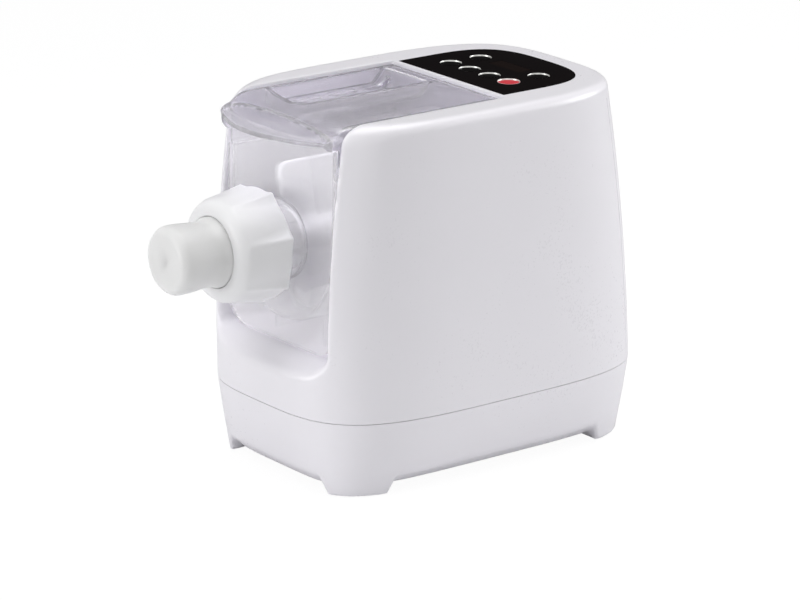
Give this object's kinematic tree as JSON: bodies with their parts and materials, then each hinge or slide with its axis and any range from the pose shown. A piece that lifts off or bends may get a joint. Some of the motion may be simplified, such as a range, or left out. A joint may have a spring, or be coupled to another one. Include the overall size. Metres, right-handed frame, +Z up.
{
  "type": "electric pasta maker",
  "caption": "Electric pasta maker with a slide-out kneading chamber, pressing screw, screw-on nozzle, hinged lid with pour tray, geared motor and control panel",
  "frame": {"origin": "centre of the overall box, at the level of the feet", "axes": "+X to the right seen from the nozzle side, +Y from the nozzle to the back, +Z up"},
  "size_m": [0.212, 0.4096, 0.2903],
  "materials": {
    "white_abs": "glossy moulded ABS",
    "clear_plastic": "clear moulded SAN, lightly tinted by its thickness",
    "milky_plastic": "milky polypropylene",
    "nut_plastic": "glossy moulded plastic",
    "disc_acetal": "acetal, satin",
    "panel_black": "glossy black sheet",
    "window_black": "smoked acrylic",
    "button_black": "glossy with a bright rim",
    "button_red": "glossy red",
    "display_grey": "display housing",
    "circuit_green": "solder mask",
    "component_dark": "component cases",
    "ribbon_grey": "flat cable",
    "screw_steel": "zinc plated",
    "pad_rubber": "soft feet",
    "gland_plastic": "nylon",
    "gearbox_alloy": "die cast, satin",
    "frame_steel": "zinc plated sheet",
    "bush_bronze": "sintered bronze",
    "gear_nylon": "moulded gear nylon",
    "gear_steel": "cut steel",
    "shaft_steel": "ground steel",
    "seal_rubber": "lip seal",
    "motor_steel": "drawn steel",
    "magnet_ferrite": "ferrite",
    "winding_copper": "wound laminations",
    "fan_plastic": "nylon",
    "switch_plastic": "phenolic case",
    "plunger_red": "acetal"
  },
  "bodies": {
    "root": {"base_shell": "white_abs", "foot_pads": "pad_rubber", "base_screws": "screw_steel", "housing_shell": "white_abs", "control_panel": "panel_black", "display_window": "window_black", "display_module": "display_grey", "panel_board": "circuit_green", "panel_screws": "screw_steel", "ribbon_cable": "ribbon_grey", "power_board": "circuit_green", "power_parts": "component_dark", "cord_gland": "gland_plastic", "cord_clamp": "gland_plastic", "gearbox_stand": "frame_steel", "gearbox_case": "gearbox_alloy", "gearbox_cover": "gearbox_alloy", "gearbox_screws": "screw_steel", "output_bushes": "bush_bronze", "shaft_seal": "seal_rubber", "idler_bushes": "bush_bronze", "motor_can": "motor_steel", "motor_end_caps": "motor_steel", "motor_magnets": "magnet_ferrite", "motor_cradle": "frame_steel", "motor_screws": "screw_steel", "lid_switch": "switch_plastic"},
    "lid_body": {"lid": "clear_plastic", "lid_cam": "gear_nylon"},
    "plunger_body": {"switch_plunger": "plunger_red"},
    "chamber": {"mixing_chamber": "clear_plastic", "chamber_seal": "seal_rubber", "front_plate": "clear_plastic"},
    "kneader": {"kneading_paddle": "nut_plastic"},
    "nozzle": {"shaping_disc": "disc_acetal"},
    "nut": {"lock_nut": "nut_plastic"},
    "cap": {"nozzle_cap": "milky_plastic"},
    "drive": {"output_gear": "gear_nylon", "output_shaft": "shaft_steel"},
    "idler": {"idler_gear": "gear_nylon", "idler_pinion": "gear_steel", "idler_shaft": "shaft_steel"},
    "rotor": {"motor_shaft": "shaft_steel", "motor_core": "winding_copper", "motor_pinion": "gear_steel", "motor_fan": "fan_plastic"},
    "power_button": {"power_button": "button_black"},
    "start_button": {"start_button": "button_red"},
    "menu_button": {"menu_button": "button_black"},
    "dough_button": {"dough_button": "button_black"},
    "pasta_button": {"pasta_button": "button_black"},
    "time_button": {"time_button": "button_black"}
  },
  "joints": [
    {"name": "lid_hinge", "type": "hinge", "parent": "root", "child": "lid_body", "pos_m": [0, 0.05775, 0.2845], "axis": [-1, 0, 0], "range_deg": [0, 75]},
    {"name": "switch_push", "type": "slide", "parent": "root", "child": "plunger_body", "axis": [0, 0, 1], "range_m": [0, 0.0015]},
    {"name": "chamber_slide", "type": "slide", "parent": "root", "child": "chamber", "axis": [0, -1, 0], "range_m": [0, 0.12]},
    {"name": "drive_spin", "type": "hinge", "parent": "root", "child": "drive", "pos_m": [0, 0.08225, 0.189], "axis": [0, 1, 0], "continuous": true},
    {"name": "kneader_spin", "type": "hinge", "parent": "chamber", "child": "kneader", "pos_m": [0, 0.08225, 0.189], "axis": [0, 1, 0], "continuous": true},
    {"name": "idler_spin", "type": "hinge", "parent": "root", "child": "idler", "pos_m": [0, 0.08225, 0.137], "axis": [0, 1, 0], "continuous": true},
    {"name": "rotor_spin", "type": "hinge", "parent": "root", "child": "rotor", "pos_m": [0, 0.08225, 0.0965], "axis": [0, 1, 0], "continuous": true},
    {"name": "nozzle_advance", "type": "slide", "parent": "chamber", "child": "nozzle", "axis": [0, -1, 0], "range_m": [0, 0.018]},
    {"name": "nut_turn", "type": "hinge", "parent": "nozzle", "child": "nut", "pos_m": [0, -0.13775, 0.189], "axis": [0, -1, 0], "range_deg": [0, 720]},
    {"name": "cap_pull", "type": "slide", "parent": "nozzle", "child": "cap", "axis": [0, -1, 0], "range_m": [0, 0.04]},
    {"name": "power_press", "type": "slide", "parent": "root", "child": "power_button", "axis": [0, 0, -1], "range_m": [0, 0.0012], "stiffness_N_per_m": 400, "springref_m": -0.0005},
    {"name": "start_press", "type": "slide", "parent": "root", "child": "start_button", "axis": [0, 0, -1], "range_m": [0, 0.0012], "stiffness_N_per_m": 400, "springref_m": -0.0005},
    {"name": "menu_press", "type": "slide", "parent": "root", "child": "menu_button", "axis": [0, 0, -1], "range_m": [0, 0.0012], "stiffness_N_per_m": 400, "springref_m": -0.0005},
    {"name": "dough_press", "type": "slide", "parent": "root", "child": "dough_button", "axis": [0, 0, -1], "range_m": [0, 0.0012], "stiffness_N_per_m": 400, "springref_m": -0.0005},
    {"name": "pasta_press", "type": "slide", "parent": "root", "child": "pasta_button", "axis": [0, 0, -1], "range_m": [0, 0.0012], "stiffness_N_per_m": 400, "springref_m": -0.0005},
    {"name": "time_press", "type": "slide", "parent": "root", "child": "time_button", "axis": [0, 0, -1], "range_m": [0, 0.0012], "stiffness_N_per_m": 400, "springref_m": -0.0005}
  ],
  "couplings": [
    {"joint": "kneader_spin", "follows": "drive_spin", "ratio": 1},
    {"joint": "idler_spin", "follows": "drive_spin", "ratio": -3.3333},
    {"joint": "rotor_spin", "follows": "drive_spin", "ratio": 11.667},
    {"joint": "switch_push", "follows": "lid_hinge", "m_per_rad": 0.0011458},
    {"joint": "nozzle_advance", "follows": "nut_turn", "m_per_rad": 0.0014323}
  ]
}
